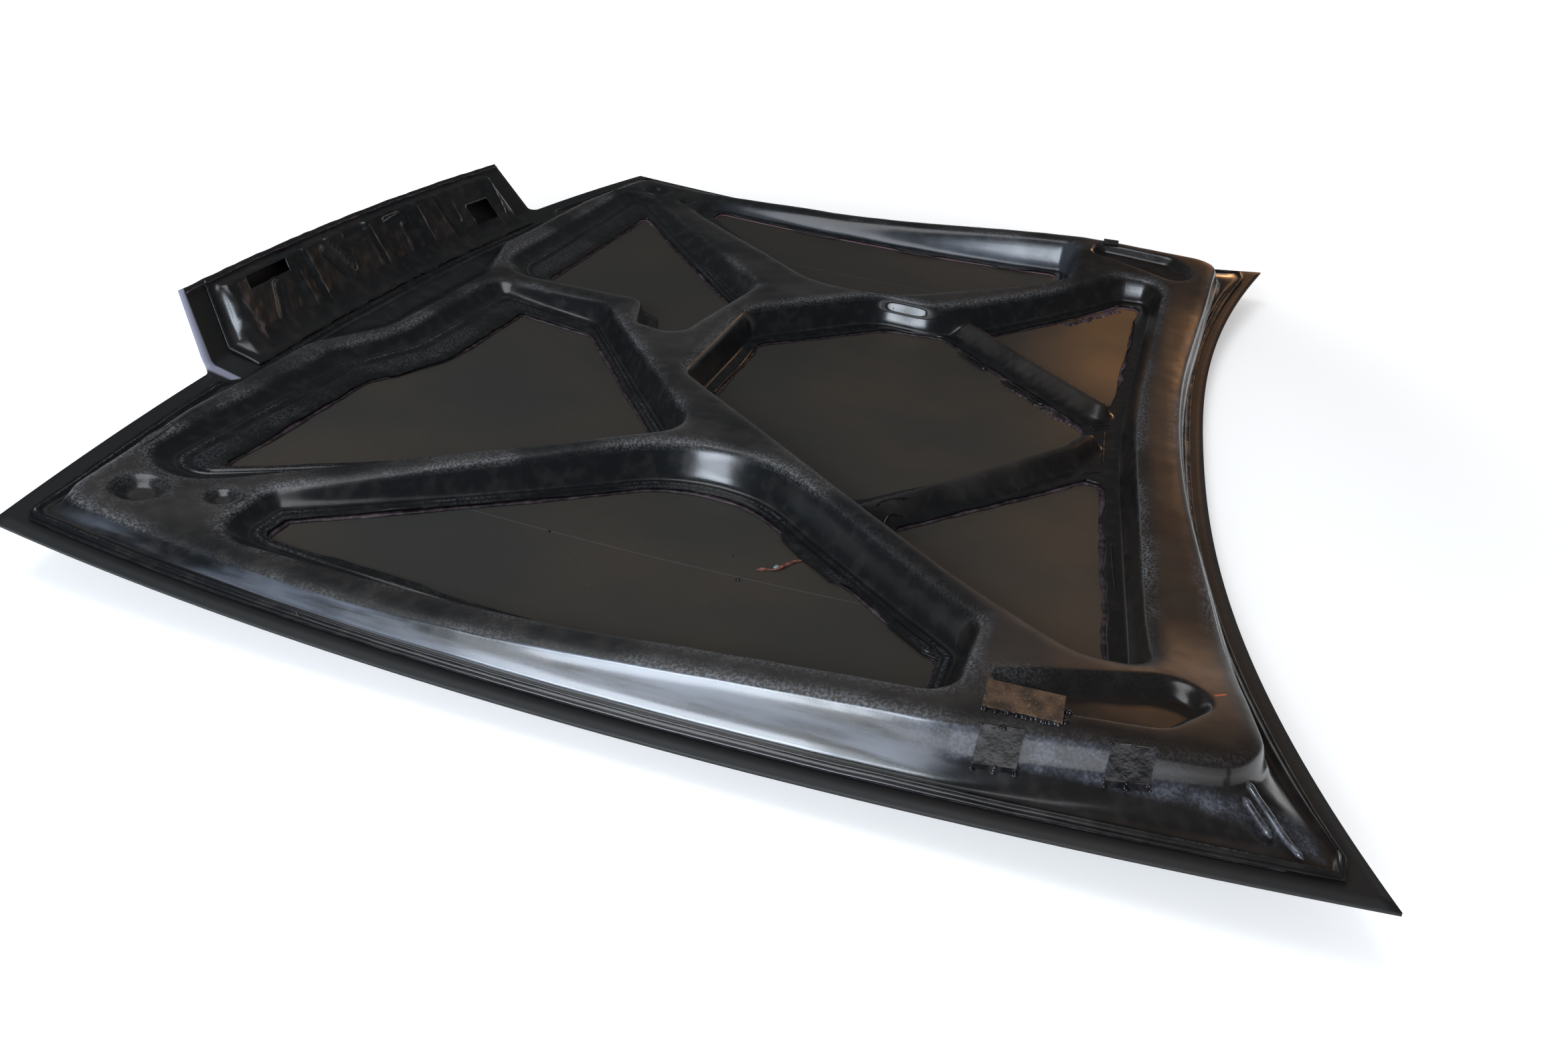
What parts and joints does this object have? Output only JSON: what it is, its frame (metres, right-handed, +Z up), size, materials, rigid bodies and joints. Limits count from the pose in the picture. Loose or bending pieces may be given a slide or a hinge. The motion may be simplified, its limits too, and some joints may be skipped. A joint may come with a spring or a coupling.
{
  "type": "car bonnet",
  "caption": "Moulded car bonnet with an upturned nose tongue, a ribbed inner frame bonded in with open pockets, and a panel inside the nose.",
  "frame": {"origin": "centre of the bounding box's underside: midway across, midway from the rear corner tips to the nose, at the lowest point of the outer skin", "axes": "+X across the bonnet, +Y from the rear edge to the nose, +Z up out of the underside, which faces up as in the picture"},
  "size_m": [1.4544, 1.2251, 0.1319],
  "materials": {
    "skin_black": "semi-gloss black, dusty on the inside",
    "frame_black": "semi-gloss black with pale rub marks",
    "panel_black": "semi-gloss black",
    "plate_brown": "black paint worn to brown",
    "strip_black": "wet-looking resin",
    "paste_dark": "set bonding paste, dull"
  },
  "bodies": {
    "root": {"far_rail_strip": "strip_black", "hinge_plate": "plate_brown", "inner_frame": "frame_black", "near_rail_strip_front": "strip_black", "near_rail_strip_rear": "strip_black", "nose_panel": "panel_black", "outer_skin": "skin_black", "paste_centre": "paste_dark", "paste_edge": "paste_dark", "paste_front_far": "paste_dark", "paste_front_near": "paste_dark", "paste_rear_far": "paste_dark", "paste_rear_near": "paste_dark", "paste_side_far": "paste_dark", "paste_side_near": "paste_dark"}
  },
  "joints": []
}
